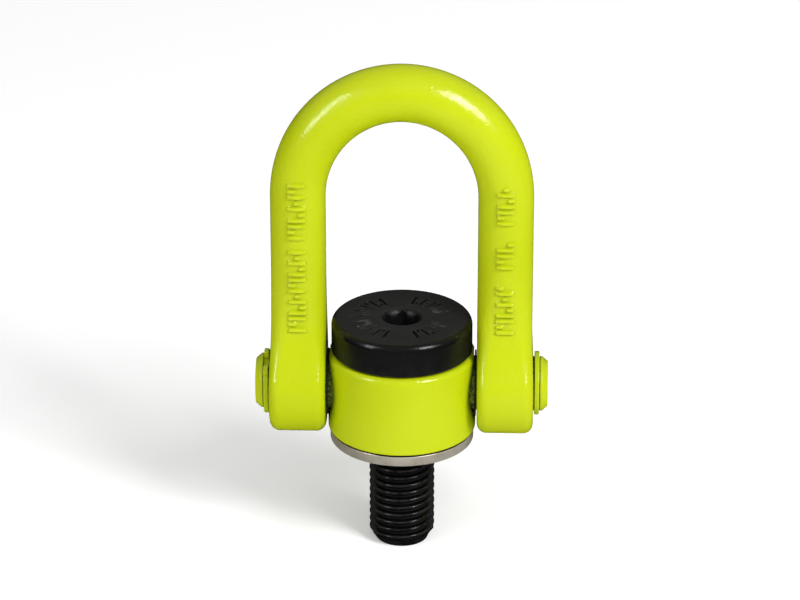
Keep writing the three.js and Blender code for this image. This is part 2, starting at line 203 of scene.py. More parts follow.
WHITE = 1, 1, 1, 1
FLOOR_WHITE = 0.93, 0.93, 0.93, 1
LIME_DEEP = 0.43, 0.51, 0.003, 1
LIME_PALE = 0.46, 0.54, 0.005, 1
LIME_EDGE = 0.54, 0.61, 0.02, 1
# darker in inner corners: painted shade
LIME_CORNER_SHADE = 0.30, 0.37, 0.001, 1
# painted shade, with a rough speckled spray, in the gaps beside eyes and circlips
OVERSPRAY_SHADE_DARK = 0.03, 0.055, 0.001, 1
OVERSPRAY_SHADE_PALE = 0.2, 0.3, 0.003, 1
THREAD_BLACK = 0.002, 0.002, 0.002, 1
HEAD_SIDE_BLACK = 0.004, 0.004, 0.004, 1
# the head's top lighter than its side: painted light
HEAD_TOP_LIT_BLACK = 0.011, 0.011, 0.011, 1
BLOTCH_BLACK = 0.001, 0.001, 0.001, 1
# dark in engraved strokes and thread roots: painted shade
CREVICE_SHADE_BLACK = 0.0005, 0.0005, 0.0005, 1
WORN_GREY = 0.04, 0.04, 0.04, 1
PLATING_DULL = 0.73, 0.66, 0.53, 1
PLATING_BRIGHT = 0.88, 0.81, 0.68, 1
# pale on the flange's outer edges: painted highlight
PLATING_EDGE_HIGHLIGHT = 0.9, 0.87, 0.82, 1
# dark on the flange's top just under the body: painted shade
FLANGE_TOP_SHADE = 0.015, 0.014, 0.012, 1
STEEL_DARK = 0.004, 0.004, 0.004, 1
STEEL_PALE = 0.010, 0.010, 0.009, 1
STEEL_EDGE = 0.05, 0.048, 0.045, 1


# ---- surfaces from distance fields ----

def smooth_min(a, b, reach):
    """The smaller of two distances, with the corner between them rounded over reach."""
    overlap = np.clip(reach - np.abs(a - b), 0, None)
    return np.minimum(a, b) - overlap**2 / (4 * reach)


def smooth_max(a, b, reach):
    """The larger of two distances, with the corner between them rounded over reach."""
    return -smooth_min(-a, -b, reach)


def smooth_step(value, start, end):
    """0 before start, 1 after end, and a smooth rise between."""
    share = np.clip((value - start) / (end - start), 0, 1)
    return share * share * (3 - 2 * share)


def mix(a, b, share):
    """a where share is 0 and b where it is 1."""
    return a + (b - a) * share


def rounded_slab(outline, across, half_thickness, rounding):
    """Distance to a flat shape with rounded edges: outline is the distance to its 2-D outline,
    across the distance from its middle plane."""
    side = outline + rounding
    face = np.abs(across) - half_thickness + rounding
    outside = np.hypot(np.maximum(side, 0), np.maximum(face, 0))
    return outside + np.minimum(np.maximum(side, face), 0) - rounding


def slope(field, points, reach=0.02):
    """The field's gradient at each point."""
    columns = []
    for axis in range(3):
        offset = np.zeros(3)
        offset[axis] = reach
        columns.append((field(points + offset) - field(points - offset)) / (2 * reach))
    return np.stack(columns, -1)


def settle(field, points, passes, farthest):
    """Moves points on to the surface, each pass by no more than farthest."""
    for _ in range(passes):
        gradient = slope(field, points)
        size = np.maximum((gradient**2).sum(-1), 1e-6)
        move = -(field(points) / size)[:, None] * gradient
        length = np.linalg.norm(move, axis=1, keepdims=True)
        points = points + move * np.minimum(1, farthest / np.maximum(length, 1e-9))
    return points


def field_values(field, axes):
    """The field on a grid, a slice at a time."""
    y, z = np.meshgrid(axes[1], axes[2], indexing="ij")
    values = np.empty([len(a) for a in axes], np.float32)
    for i, x in enumerate(axes[0]):
        values[i] = field(np.stack([np.full_like(y, x), y, z], -1).reshape(-1, 3)).reshape(y.shape)
    return values


def quads_between(inside, cell_number):
    """One quad of four cells round each grid edge that crosses the surface, facing out."""
    quads = []
    for order in ((0, 1, 2), (1, 2, 0), (2, 0, 1)):
        solid, cells = inside.transpose(order), cell_number.transpose(order)
        lower, upper = solid[:-1, 1:-1, 1:-1], solid[1:, 1:-1, 1:-1]
        i, j, k = np.nonzero(lower != upper)
        around = [cells[i, j, k], cells[i, j + 1, k], cells[i, j + 1, k + 1], cells[i, j, k + 1]]
        quad = np.stack(around, 1)
        faces_back = ~lower[i, j, k]
        quad[faces_back] = quad[faces_back, ::-1]
        quads.append(quad)
    return np.concatenate(quads)


def neighbour_mean(values, pairs):
    """Each value's mean over the points that share an edge with it."""
    total, count = np.zeros_like(values), np.zeros(len(values))
    for a, b in (pairs.T, pairs.T[::-1]):
        np.add.at(total, a, values[b])
        np.add.at(count, a, 1)
    return total / np.maximum(count, 1).reshape((-1,) + (1,) * (values.ndim - 1))


def surface(field, low, high, step):
    """Points and quads of the closed surface where field is zero, inside a box. step is the size of a
    quad along X, Y and Z, or one number for all three."""
    step = np.ones(3) * step
    low, high = np.array(low) - 2 * step, np.array(high) + 2 * step
    axes = [np.arange(low[i], high[i] + step[i], step[i]) for i in range(3)]
    inside = field_values(field, axes) < 0
    shape = [n - 1 for n in inside.shape]
    corners = np.zeros(shape, np.int8)
    for dx in (0, 1):
        for dy in (0, 1):
            for dz in (0, 1):
                corners += inside[dx:dx + shape[0], dy:dy + shape[1], dz:dz + shape[2]]
    mixed = (corners > 0) & (corners < 8)
    cell_number = np.full(shape, -1)
    cell_number[mixed] = np.arange(mixed.sum())
    points = settle(field, low + (np.argwhere(mixed) + 0.5) * step, 3, step.min())
    quads = quads_between(inside, cell_number)
    pairs = np.stack([quads, np.roll(quads, -1, 1)], -1).reshape(-1, 2)
    for _ in range(2):
        points = settle(field, (points + neighbour_mean(points, pairs)) / 2, 2, step.min())
    return points, quads


# ---- surfaces from rows of points ----

def turned_row(radius, height, columns):
    """A ring of points about Z; radius and height may vary round the ring."""
    angle = 2 * np.pi * np.arange(columns) / columns
    ones = np.ones(columns)
    return np.stack([radius * np.cos(angle), radius * np.sin(angle), height * ones], 1)


def ring_quads(lower, upper):
    """Quads between two rings of point numbers, facing out when upper is further along the profile."""
    return np.stack([lower, np.roll(lower, -1), np.roll(upper, -1), upper], 1)


def revolve(profile, columns):
    """A turned solid about Z from [radius, height] corners. A profile that starts on the axis ends
    there too, and any other closes on itself."""
    profile = [tuple(corner) for corner in profile]
    on_axis = profile[0][0] == 0
    rings = profile[1:-1] if on_axis else profile
    points = np.concatenate([turned_row(r, h, columns) for r, h in rings])
    numbers = np.arange(len(points)).reshape(len(rings), columns)
    faces = [ring_quads(a, b) for a, b in zip(numbers, numbers[1:])]
    if not on_axis:
        faces.append(ring_quads(numbers[-1], numbers[0]))
        return points, list(np.concatenate(faces))
    bottom, top = len(points), len(points) + 1
    points = np.concatenate([points, [[0, 0, profile[0][1]], [0, 0, profile[-1][1]]]])
    faces = list(np.concatenate(faces))
    faces += pole_fan(bottom, numbers[0][::-1]) + pole_fan(top, numbers[-1])
    return points, faces


def pole_fan(pole, ring):
    """Triangles that close a ring with one point on the axis."""
    return [(pole, a, b) for a, b in zip(ring, np.roll(ring, -1))]


def rounded(corners, radius, steps=4):
    """A profile with each inner corner rounded. Corners are [radius, height] or
    [radius, height, rounding] where one needs its own."""
    result = [tuple(corners[0][:2])]
    for before, here, after in zip(corners, corners[1:], corners[2:]):
        size = here[2] if len(here) > 2 else radius
        result += corner_arc(np.array(before[:2]), np.array(here[:2]), np.array(after[:2]), size, steps)
    result.append(tuple(corners[-1][:2]))
    return result


def corner_arc(before, here, after, size, steps):
    """Points of the round that replaces one corner."""
    if size == 0:
        return [tuple(here)]
    to_before = (before - here) / np.linalg.norm(before - here)
    to_after = (after - here) / np.linalg.norm(after - here)
    half = math.acos(np.clip(to_before @ to_after, -1, 1)) / 2
    if half > math.radians(89):
        return [tuple(here)]
    reach = size / math.tan(half)
    middle = (to_before + to_after) / np.linalg.norm(to_before + to_after)
    centre = here + middle * size / math.sin(half)
    start, end = here + to_before * reach - centre, here + to_after * reach - centre
    turn = math.atan2(start[0] * end[1] - start[1] * end[0], start @ end)
    points = []
    for i in range(steps + 1):
        c, s = math.cos(turn * i / steps), math.sin(turn * i / steps)
        points.append(tuple(centre + (c * start[0] - s * start[1], s * start[0] + c * start[1])))
    return points


def along_x(points):
    """Turns points built about Z so that they stand about X."""
    return points[:, [2, 1, 0]] * (1, -1, 1)


# ---- pieces ----

def new_mesh(name, points, faces):
    """A mesh from points in metres."""
    mesh = bpy.data.meshes.new(name)
    mesh.from_pydata(np.asarray(points).tolist(), [], [tuple(map(int, face)) for face in faces])
    return mesh


def new_object(name, data):
    """An object in the scene that holds a mesh, a light or a camera."""
    made = bpy.data.objects.new(name, data)
    bpy.context.scene.collection.objects.link(made)
    return made


def curvature(mesh, points, blur=3):
    """How sharply the surface bends at each point, per millimetre, positive on outer edges."""
    pairs = np.empty(len(mesh.edges) * 2, np.int32)
    mesh.edges.foreach_get("vertices", pairs)
    pairs = pairs.reshape(-1, 2)
    normals = np.empty(len(points) * 3, np.float32)
    mesh.vertex_normals.foreach_get("vector", normals)
    normals = normals.reshape(-1, 3)
    step = points[pairs[:, 1]] - points[pairs[:, 0]]
    bend = ((normals[pairs[:, 1]] - normals[pairs[:, 0]]) * step).sum(1)
    bend /= np.maximum((step**2).sum(1), 1e-4)
    total, count = np.zeros(len(points)), np.zeros(len(points))
    for end in (0, 1):
        np.add.at(total, pairs[:, end], bend)
        np.add.at(count, pairs[:, end], 1)
    result = total / np.maximum(count, 1)
    for _ in range(blur):
        result = (result + neighbour_mean(result, pairs)) / 2
    return result


def piece(name, points, faces, body, material, slot, *nodes):
    """A named piece from points in millimetres. It rides on a body and stands for CAD nodes."""
    mesh = new_mesh(name, np.asarray(points) * MM, faces)
    mesh.validate()
    mesh.shade_smooth()
    mesh.set_sharp_from_angle(angle=math.radians(40))
    bend = mesh.attributes.new("bend", "FLOAT", "POINT")
    bend.data.foreach_set("value", curvature(mesh, np.asarray(points)).astype(np.float32))
    mesh.materials.append(material)
    made = new_object(name, mesh)
    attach(made, body)
    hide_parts(*nodes)
    return made


# ---- bail ----

def mark_rows(groups):
    """Raised marks on a leg: each one's height, sideways offset and half length. A group runs between
    two heights and repeats a pattern of long and short marks."""
    pattern = [(0.0, 2.7), (-1.9, 0.8), (0.0, 2.7), (0.0, 2.7), (1.9, 0.8), (0.0, 2.7), (0.0, 0.4)]
    rows = []
    for low, high in groups:
        count = round((high - low) / MARK_PITCH)
        heights = np.linspace(low, high, count + 1)
        rows += [(height, *pattern[i % len(pattern)]) for i, height in enumerate(heights)]
    return np.array(rows).T


LEFT_MARKS = mark_rows(LEFT_MARK_GROUPS)
RIGHT_MARKS = mark_rows(RIGHT_MARK_GROUPS)


def mark_outline(across, height, marks):
    """Distance to the nearest mark's outline on the leg's front."""
    heights, offsets, halves = marks
    nearest = np.abs(height[:, None] - heights[None, :]).argmin(1)
    along = np.maximum(np.abs(across - offsets[nearest]) - halves[nearest], 0)
    return np.hypot(along, height - heights[nearest]) - MARK_HALF_WIDTH


def eye_outline(y, height):
    """Distance to the outline of an eye and its neck, seen along the pin. The neck leaves the eye's
    circle at a tangent and narrows to the leg in a parabola."""
    circle = np.hypot(y, height) - EYE_RADIUS
    start_width = math.sqrt(EYE_RADIUS**2 - NECK_START**2)
    spread = start_width - LEG_RADIUS
    left = np.clip(1 - (height - NECK_START) / NECK_LENGTH, 0, None)
    steepness = np.hypot(1, 2 * spread * left / NECK_LENGTH)
    neck = (np.abs(y) - LEG_RADIUS - spread * left**2) / steepness
    return mix(circle, neck, smooth_step(height, NECK_START - NECK_BLEND, NECK_START + NECK_BLEND))


def leg_distance(x, y, height):
    """A leg, its neck and its eye, from the distance across and the height above the pin."""
    narrowing = smooth_step(height, 0, NECK_LENGTH)
    centre = mix((EYE_INNER + EYE_OUTER) / 2, LEG_OFFSET, narrowing)
    half = mix((EYE_OUTER - EYE_INNER) / 2, LEG_RADIUS, narrowing)
    rounding = mix(EYE_ROUNDING, LEG_RADIUS, smooth_step(height, ROUND_START, ROUND_END))
    return rounded_slab(eye_outline(y, height), x - centre, half, rounding)


def arch_distance(x, y, height):
    """The half-elliptical arch, from the distance across and the height above its start."""
    rise = BAIL_HIGH[2] - CROWN_RADIUS - ARCH_START
    x = np.maximum(x, 0.001)
    scaled = np.hypot(x / LEG_OFFSET, height / rise)
    steepness = np.hypot(x / LEG_OFFSET**2, height / rise**2)
    from_line = scaled * (scaled - 1) / steepness
    radius = mix(LEG_RADIUS, CROWN_RADIUS, smooth_step(height, 0, rise))
    return np.hypot(from_line, y) - radius


def bail_field(points):
    """Distance to the bail: eyes, legs and arch in one, with the marks on its front."""
    x, y, z = points.T
    above_pin = z - PIN_HEIGHT
    above_start = np.maximum(z - ARCH_START, 0)
    bar = np.where(z > ARCH_START, arch_distance(np.abs(x), y, above_start),
                   leg_distance(np.abs(x), y, above_pin))
    front = (np.abs(bar) < MARK_REACH) & (y < 0) & (z > MARKS_BOTTOM) & (z < MARKS_TOP)
    for side, marks in ((-1, LEFT_MARKS), (1, RIGHT_MARKS)):
        here = front & (np.sign(x) == side)
        across = x[here] - side * LEG_OFFSET
        mark = smooth_max(mark_outline(across, z[here], marks), bar[here] - MARK_RISE, MARK_EDGE)
        bar[here] = smooth_min(bar[here], mark, MARK_FOOT)
    bore = PIN_RADIUS + RUNNING_GAP - np.hypot(y, above_pin)
    return smooth_max(bar, bore, EYE_BORE_EDGE)


# ---- swivel body ----

def round_corner(a, b, radius):
    """What lies inside both a and b, with the edge between them rounded."""
    a, b = a + radius, b + radius
    return np.hypot(np.maximum(a, 0), np.maximum(b, 0)) + np.minimum(np.maximum(a, b), 0) - radius


def body_field(points):
    """Distance to the turning drum: bore, cross hole, and seats for pin shoulders and washers."""
    x, y, z = points.T
    out = np.hypot(x, y)
    from_pin = np.hypot(y, z - PIN_HEIGHT)
    drum = round_corner(out - BODY_HIGH[0], z - BODY_HIGH[2], BODY_TOP_EDGE)
    drum = round_corner(drum, BODY_LOW[2] - z, BODY_BOTTOM_EDGE)
    drum = round_corner(drum, SLEEVE_RADIUS + RUNNING_GAP - out, BODY_HOLE_EDGE)
    drum = round_corner(drum, PIN_RADIUS + RUNNING_GAP - from_pin, BODY_HOLE_EDGE)
    shoulder_seat = PIN_LOW[0] + PIN_SHOULDER_LENGTH + RUNNING_GAP
    shoulder_radius = PIN_HIGH[1] + RUNNING_GAP
    counterbore = np.maximum(from_pin - shoulder_radius, np.abs(x) - shoulder_seat)
    drum = round_corner(drum, -counterbore, SHOULDER_SEAT_EDGE)
    spot_face = WASHER_LOW[0] - RUNNING_GAP
    seat = np.maximum(from_pin - WASHER_HIGH[1] - WASHER_SEAT_MARGIN, spot_face - np.abs(x))
    return round_corner(drum, -seat, WASHER_SEAT_EDGE)


# ---- bolt ----

def thread_radius(pitches):
    """The ISO thread form, counted in pitches from a crest, with its crest and root rounded off."""
    from_crest = np.abs(pitches - np.round(pitches))
    sharp_crest = SHANK_RADIUS + 0.125 * THREAD_PITCH * math.sqrt(3) / 2
    flank = sharp_crest - from_crest * THREAD_PITCH * math.sqrt(3)
    return smooth_max(smooth_min(flank, CREST_RADIUS, CREST_ROUND), ROOT_RADIUS, ROOT_ROUND)


def thread_rows(tip, top):
    """Rows of points that climb one pitch a turn, from a root near the tip to a crest under the top."""
    turns = int((top - tip) / THREAD_PITCH) - 1
    count = turns * ROWS_PER_PITCH
    climb = THREAD_PITCH * np.arange(SHANK_COLUMNS) / SHANK_COLUMNS
    rows = []
    for i in range(count + 1):
        height = tip + TIP_EDGE + THREAD_PITCH * i / ROWS_PER_PITCH + climb
        chamfer = TIP_RADIUS + TIP_CHAMFER * (height - tip)
        run_out = ROOT_RADIUS + (height - (top - RUN_OUT))
        form = thread_radius(THREAD_START + i / ROWS_PER_PITCH)
        radius = np.minimum(np.maximum(np.minimum(form, chamfer), run_out), CREST_RADIUS)
        rows.append(turned_row(radius, height, SHANK_COLUMNS))
    return rows


def thread_faces(tip_ring, rows, top_ring):
    """Faces of the thread's rows. Across the seam each row meets the row one turn further on."""
    faces = []
    for lower, upper in zip([tip_ring, *rows], [*rows, top_ring]):
        faces += ring_quads(lower, upper)[:-1].tolist()
    for i in range(len(rows) - ROWS_PER_PITCH - 1):
        here, there = rows[i:i + 2], rows[i + ROWS_PER_PITCH:i + ROWS_PER_PITCH + 2]
        faces.append([here[0][-1], there[0][0], there[1][0], here[1][-1]])
    first = [row[0] for row in rows[:ROWS_PER_PITCH + 1]]
    last = [row[-1] for row in rows[-ROWS_PER_PITCH - 1:]][::-1]
    faces += strip_fan(rows[0][-1], [tip_ring[-1], tip_ring[0], *first])
    faces += strip_fan(rows[-1][0], [top_ring[0], top_ring[-1], *last])
    return faces


def strip_fan(apex, others):
    """Triangles between one point and a line of others."""
    return [[apex, a, b] for a, b in zip(others, others[1:])]


def engraved_groups():
    """Engraved strokes on the head, as angle, middle radius and half length, in four arcs."""
    middle, inner, outer = np.add(ENGRAVING_RADIUS, (0, -ENGRAVING_OFFSET, ENGRAVING_OFFSET))
    pattern = [(middle, 3.0), (inner, 0.9), (middle, 3.0), (outer, 0.9), (middle, 3.0), (middle, 0.4)]
    strokes = []
    for start, end in ENGRAVED_ARCS:
        count = round((end - start) / ENGRAVING_PITCH)
        for i, angle in enumerate(np.linspace(start, end, count + 1)):
            strokes.append((math.radians(angle), *pattern[i % len(pattern)]))
    return strokes


def engraving(radius, angle):
    """How deep the head's marks are cut at each point of a ring."""
    nearest = np.full(angle.shape, 9.0)
    for stroke_angle, middle, half in engraved_groups():
        sideways = radius * np.sin(angle - stroke_angle)
        outwards = radius * np.cos(angle - stroke_angle) - middle
        beyond = np.maximum(np.abs(outwards) - half, 0)
        nearest = np.minimum(nearest, np.hypot(sideways, beyond) - ENGRAVING_HALF_WIDTH)
    return ENGRAVING_DEPTH * smooth_step(-nearest, -0.06, 0.3)


def socket_radius(angle):
    """Distance from the axis to the hexagon's wall."""
    sixth = math.pi / 3
    return SOCKET_APOTHEM / np.cos((angle + sixth / 2) % sixth - sixth / 2)


def head_rows():
    """Rows from under the head, round its edge and across its top, and down into the socket."""
    angle = 2 * np.pi * np.arange(HEAD_COLUMNS) / HEAD_COLUMNS
    edge = rounded([
        [19.0, HEAD_BOTTOM],
        [HEAD_RADIUS, HEAD_BOTTOM],
        [HEAD_RADIUS, HEAD_TOP, HEAD_ROUND],
        [20.0, HEAD_TOP],
    ], HEAD_LOWER_EDGE, steps=10)
    rows = [turned_row(r, h, HEAD_COLUMNS) for r, h in edge[:-1]]
    for radius in np.linspace(*ENGRAVED_BAND[::-1], ENGRAVED_ROWS):
        rows.append(turned_row(radius, HEAD_TOP - engraving(radius, angle), HEAD_COLUMNS))
    for radius in (9.5, SOCKET_MOUTH + 0.25):
        rows.append(turned_row(radius, HEAD_TOP, HEAD_COLUMNS))
    rows.append(turned_row(SOCKET_MOUTH + 0.05, HEAD_TOP - 0.06, HEAD_COLUMNS))
    wall = socket_radius(angle)
    countersink = COUNTERSINK_SLOPE * (SOCKET_MOUTH - wall)
    rows.append(turned_row(wall, HEAD_TOP - 0.1 - countersink, HEAD_COLUMNS))
    for depth in (3.5, 6.0, SOCKET_DEPTH):
        rows.append(turned_row(wall, HEAD_TOP - depth, HEAD_COLUMNS))
    rows.append(turned_row(2.5, HEAD_TOP - SOCKET_DEPTH - 0.9, HEAD_COLUMNS))
    return rows


def shank_rows():
    """Rows of the plain shank, with the captive ring's groove, up to the head's underside."""
    groove = RING_LOW[2] - FIT, RING_HIGH[2] + FIT
    groove_radius = SHANK_RADIUS - RING_GROOVE_DEPTH
    profile = rounded([
        [CREST_RADIUS, THREAD_TOP],
        [SHANK_RADIUS, THREAD_TOP + 0.3],
        [SHANK_RADIUS, groove[0]],
        [groove_radius, groove[0]],
        [groove_radius, groove[1]],
        [SHANK_RADIUS, groove[1]],
        [SHANK_RADIUS, 12.0, 0],
        [SHANK_RADIUS, 24.0, 0],
        [SHANK_RADIUS, HEAD_BOTTOM, SHANK_ROOT_ROUND],
        [15.0, HEAD_BOTTOM],
    ], SMALL_EDGE)
    return [turned_row(r, h, SHANK_COLUMNS) for r, h in profile]


def bolt_mesh():
    """Thread, shank and head in one closed mesh, with finer columns on the head."""
    tip = BOLT_LOW[2]
    tip_rows = [
        turned_row(TIP_RADIUS - TIP_EDGE, tip, SHANK_COLUMNS),
        turned_row(TIP_RADIUS, tip + 0.1, SHANK_COLUMNS),
    ]
    groups = [tip_rows, thread_rows(tip, THREAD_TOP), shank_rows(), head_rows()]
    points, numbers = [], []
    for group in groups:
        rings = []
        for row in group:
            first = sum(len(p) for p in points)
            points.append(row)
            rings.append(np.arange(first, first + len(row)))
        numbers.append(rings)
    end, thread, shank, head = numbers
    points += [[[0, 0, tip]], [[0, 0, HEAD_TOP - SOCKET_DEPTH - 1.2]]]
    points = np.concatenate(points)
    faces = pole_fan(len(points) - 2, end[0][::-1])
    faces += ring_quads(end[0], end[1]).tolist()
    faces += thread_faces(end[1], thread, shank[0])
    for ring_pairs in (zip(shank, shank[1:]), zip(head, head[1:])):
        for lower, upper in ring_pairs:
            faces += ring_quads(lower, upper).tolist()
    share = HEAD_COLUMNS // SHANK_COLUMNS
    for i in range(SHANK_COLUMNS):
        after = (i + 1) % SHANK_COLUMNS
        fine = [head[0][(i * share + n) % HEAD_COLUMNS] for n in range(share, -1, -1)]
        faces.append([shank[-1][i], shank[-1][after], *fine])
    faces += pole_fan(len(points) - 1, head[-1])
    return points, faces


# ---- pins, circlips, washers, bushing and captive ring ----

def to_side(points, side):
    """Points built for the right side, turned half round the bolt for the left."""
    return points if side == "right" else points * (-1, -1, 1)


def pin_mesh(side):
    """A pin with a shoulder inside the body, a groove for its circlip and a chamfered outer end."""
    groove = CIRCLIP_LOW[0] - FIT, CIRCLIP_HIGH[0] + FIT
    start, end = PIN_LOW[0], PIN_HIGH[0]
    shoulder_end = start + PIN_SHOULDER_LENGTH
    profile = rounded([
        [0, start],
        [PIN_HIGH[1], start, PIN_END_EDGE],
        [PIN_HIGH[1], shoulder_end],
        [PIN_RADIUS, shoulder_end],
        [PIN_RADIUS, groove[0]],
        [PIN_GROOVE_RADIUS, groove[0]],
        [PIN_GROOVE_RADIUS, groove[1]],
        [PIN_RADIUS, groove[1]],
        [PIN_RADIUS, end - PIN_CHAMFER_LENGTH, PIN_END_EDGE],
        [PIN_RADIUS - PIN_CHAMFER_DEPTH, end, PIN_END_EDGE],
        [PIN_RADIUS / 2, end, 0],
        [0, end],
    ], PIN_GROOVE_EDGE)
    points, faces = revolve(profile, PIN_COLUMNS)
    return to_side(along_x(points) + (0, 0, PIN_HEIGHT), side), faces


def circlip_field(side):
    """Distance to a retaining ring: a band that widens opposite its gap, and two lugs with holes."""
    turn = GAP_TURN[side]
    gap_y, gap_z = math.sin(turn), -math.cos(turn)
    middle = (CIRCLIP_LOW[0] + CIRCLIP_HIGH[0]) / 2
    half_thickness = (CIRCLIP_HIGH[0] - CIRCLIP_LOW[0]) / 2
    lug_radius = CIRCLIP_INNER + CIRCLIP_LUG
    hole_angle = CIRCLIP_HALF_GAP + CIRCLIP_LUG_ARC * PLIER_HOLE_PLACE
    hole_out = CIRCLIP_INNER + CIRCLIP_LUG * PLIER_HOLE_PLACE
    hole_along, hole_beside = hole_out * math.cos(hole_angle), hole_out * math.sin(hole_angle)

    def field(points):
        x, y, z = points.T
        z = z - PIN_HEIGHT
        along, beside = y * gap_y + z * gap_z, np.abs(y * gap_z - z * gap_y)
        out, angle = np.hypot(along, beside), np.arctan2(beside, along)
        band_outer = CIRCLIP_INNER + CIRCLIP_BAND + CIRCLIP_EXTRA_BAND * (1 - np.cos(angle)) / 2
        gap = beside * math.cos(CIRCLIP_HALF_GAP) - along * math.sin(CIRCLIP_HALF_GAP)
        lug_end = CIRCLIP_HALF_GAP + CIRCLIP_LUG_ARC
        past_lug = beside * math.cos(lug_end) - along * math.sin(lug_end)
        plain = angle > FAR_FROM_GAP
        lug = smooth_max(out - lug_radius, np.where(plain, FAR_AWAY, past_lug), CIRCLIP_LUG_ROUND)
        outline = smooth_min(out - band_outer, lug, CIRCLIP_LUG_FOOT)
        outline = smooth_max(outline, np.where(plain, -FAR_AWAY, -gap), CIRCLIP_GAP_ROUND)
        outline = smooth_max(outline, CIRCLIP_INNER - out, CIRCLIP_BORE_ROUND)
        hole = np.hypot(along - hole_along, beside - hole_beside)
        outline = smooth_max(outline, PLIER_HOLE_RADIUS - hole, CIRCLIP_BORE_ROUND)
        return rounded_slab(outline, x - middle, half_thickness, CIRCLIP_EDGE)

    return field


def circlip_mesh(side):
    """A circlip, built on the right inside its own CAD box and turned to its side."""
    turned = [to_side(corner, side) for corner in corners_mm(f"{side}_circlip")]
    points, faces = surface(circlip_field(side), np.minimum(*turned), np.maximum(*turned), CIRCLIP_STEP)
    return to_side(points, side), faces


def washer_mesh(side):
    """A plain washer on a pin, between the body and an eye."""
    bore = PIN_RADIUS + RUNNING_GAP
    near, far = WASHER_LOW[0], WASHER_HIGH[0]
    profile = [[WASHER_HIGH[1], near], [WASHER_HIGH[1], far], [bore, far], [bore, near]]
    points, faces = revolve(rounded_loop(profile, SMALL_EDGE), PIN_COLUMNS)
    return to_side(along_x(points) + (0, 0, PIN_HEIGHT), side), faces


def rounded_loop(corners, radius, steps=4):
    """A closed profile with every corner rounded."""
    return rounded([corners[-1], *corners, corners[0]], radius, steps)[1:-1]


def bushing_mesh():
    """The flange under the body, its sleeve, and the counterbore that holds the captive ring."""
    bore = SHANK_RADIUS + RUNNING_GAP
    flange, flange_top = BUSHING_HIGH[0], BODY_LOW[2] - FLANGE_GAP
    top = BUSHING_HIGH[2]
    profile = [
        [flange, 0, 0.4],
        [flange, flange_top, 0.5],
        [SLEEVE_RADIUS, flange_top],
        [SLEEVE_RADIUS, top, 0.4],
        [bore, top, 0.8],
        [bore, COUNTERBORE_DEPTH],
        [COUNTERBORE_RADIUS, COUNTERBORE_DEPTH],
        [COUNTERBORE_RADIUS, 0, 0.3],
    ]
    return revolve(rounded_loop(profile, SMALL_EDGE), BUSHING_COLUMNS)


def captive_ring_field(points):
    """Distance to the snap ring round the shank, with its gap towards +X."""
    x, y, z = points.T
    inner, outer = SHANK_RADIUS - RING_GROOVE_DEPTH + RUNNING_GAP, RING_HIGH[1]
    band = np.abs(np.hypot(x, y) - (inner + outer) / 2) - (outer - inner) / 2
    gap = x * math.sin(CAPTIVE_HALF_GAP) - np.abs(y) * math.cos(CAPTIVE_HALF_GAP)
    gap = np.where(x > 0, gap, -FAR_AWAY)
    middle, half = (RING_LOW[2] + RING_HIGH[2]) / 2, (RING_HIGH[2] - RING_LOW[2]) / 2
    return rounded_slab(smooth_max(band, gap, CAPTIVE_GAP_ROUND), z - middle, half, CAPTIVE_EDGE)


# ---- materials ----

def add(material, kind, inputs, **settings):
    """Adds a shader node. Each input is a value, or another node's output to link."""
    tree = material.node_tree
    node = tree.nodes.new(kind)
    for name, value in settings.items():
        setattr(node, name, value)
    for name, value in inputs.items():
        if isinstance(value, bpy.types.NodeSocket):
            tree.links.new(value, node.inputs[name])
        else:
            node.inputs[name].default_value = value
    return node


def new_material(name, **values):
    """A material, its main shader with fixed values set, and its object coordinates in metres."""
    material = bpy.data.materials.new(name)
    material.use_nodes = True
    shader = material.node_tree.nodes["Principled BSDF"]
    for socket, value in values.items():
        shader.inputs[socket.replace("_", " ")].default_value = value
    place = add(material, "ShaderNodeTexCoord", {}).outputs["Object"]
    return material, shader, place


def noise(material, place, scale, detail=2.0, roughness=0.5):
    """Soft noise around 0.5; scale counts its features per metre."""
    inputs = {"Vector": place, "Scale": scale, "Detail": detail, "Roughness": roughness}
    return add(material, "ShaderNodeTexNoise", inputs).outputs["Fac"]


def ramp(material, value, start, end, low, high):
    """Maps value from start..end to low..high, held at both ends."""
    inputs = {"Value": value, "From Min": start, "From Max": end, "To Min": low, "To Max": high}
    node = add(material, "ShaderNodeMapRange", inputs, interpolation_type="SMOOTHSTEP")
    return node.outputs["Result"]


def ramp_mm(material, length, start, end, low, high):
    """The same for a length, with its limits in millimetres."""
    return ramp(material, length, start * MM, end * MM, low, high)


def blend_colour(material, factor, a, b):
    """Colour a where factor is 0 and colour b where it is 1."""
    node = add(material, "ShaderNodeMix", {0: factor, 6: a, 7: b}, data_type="RGBA")
    return node.outputs[2]


def math_node(material, operation, a, b):
    """One step of arithmetic on two values."""
    return add(material, "ShaderNodeMath", {0: a, 1: b}, operation=operation).outputs[0]


def bump(material, height, distance, normal=None):
    """A bump from a height of 0 to 1, distance metres high, on top of another bump if given."""
    inputs = {"Height": height, "Distance": distance}
    if normal is not None:
        inputs["Normal"] = normal
    return add(material, "ShaderNodeBump", inputs).outputs["Normal"]


def link(material, output, shader, socket):
    """Drives one of the shader's sockets."""
    material.node_tree.links.new(output, shader.inputs[socket])


def bend_value(material):
    """The mesh's own bend, per millimetre: positive on outer edges and negative in corners."""
    return add(material, "ShaderNodeAttribute", {}, attribute_name="bend").outputs["Fac"]


def flat_length(material, vector, plane):
    """The length of a vector within a plane, given as 1 for the axes in the plane and 0 for the other."""
    flat = add(material, "ShaderNodeVectorMath", {0: vector, 1: plane}, operation="MULTIPLY")
    length = add(material, "ShaderNodeVectorMath", {0: flat.outputs[0]}, operation="LENGTH")
    return length.outputs["Value"]


def sideways(material, place):
    """Distance from the middle plane between the two eyes."""
    side = add(material, "ShaderNodeSeparateXYZ", {"Vector": place}).outputs["X"]
    return math_node(material, "ABSOLUTE", side, 0.0)


